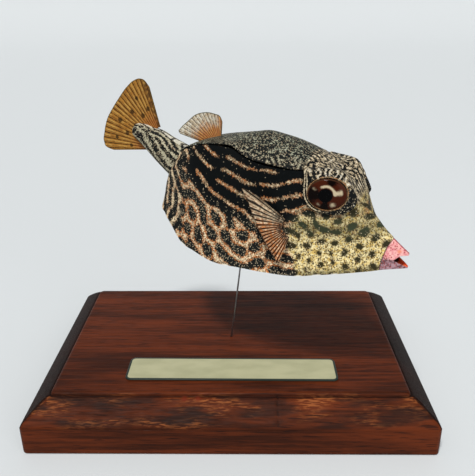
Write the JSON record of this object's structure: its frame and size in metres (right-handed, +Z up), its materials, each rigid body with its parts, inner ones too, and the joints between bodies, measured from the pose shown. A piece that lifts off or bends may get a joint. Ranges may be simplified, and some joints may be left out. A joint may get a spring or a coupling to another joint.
{
  "type": "paper model fish on stand",
  "caption": "Folded card model of a reticulate boxfish, held by a thin steel wire over a bevelled hardwood plaque with a blank label, as a still display piece.",
  "frame": {"origin": "middle of the plaque's underside, on the surface it stands on", "axes": "+Z up; +X along the plaque's long side, towards the side that the fish's head points to; -Y towards the viewer"},
  "size_m": [0.151, 0.1, 0.1241],
  "materials": {
    "wood": "mahogany-stained hardwood, worn satin varnish",
    "label": "blank beige label plate with a dark border line",
    "steel": "thin bright steel wire",
    "flank_card": "printed card, dark bands and blotches in a cream and orange net",
    "back_card": "printed card, fine pale maze on dark grey",
    "cheek_card": "printed card, pale yellow with dark olive spots",
    "lip_card": "printed card, pink with red specks",
    "eye_gloss": "glossy domed eye, brown iris and black pupil",
    "fin_card": "printed card fan, cream to orange with dark rays",
    "tail_fin_card": "printed card fan, ochre with dark rays and spots"
  },
  "bodies": {
    "root": {"stand_base": "wood", "stand_plate": "label", "stand_wire": "steel", "carapace": "flank_card", "back": "back_card", "head": "cheek_card", "turret_right": "back_card", "turret_left": "back_card", "upper_lip": "lip_card", "lower_lip": "lip_card", "eye_right": "eye_gloss", "eye_left": "eye_gloss", "peduncle": "flank_card", "caudal_fin": "tail_fin_card", "dorsal_fin": "fin_card", "pectoral_fin_right": "fin_card", "pectoral_fin_left": "fin_card"}
  },
  "joints": []
}
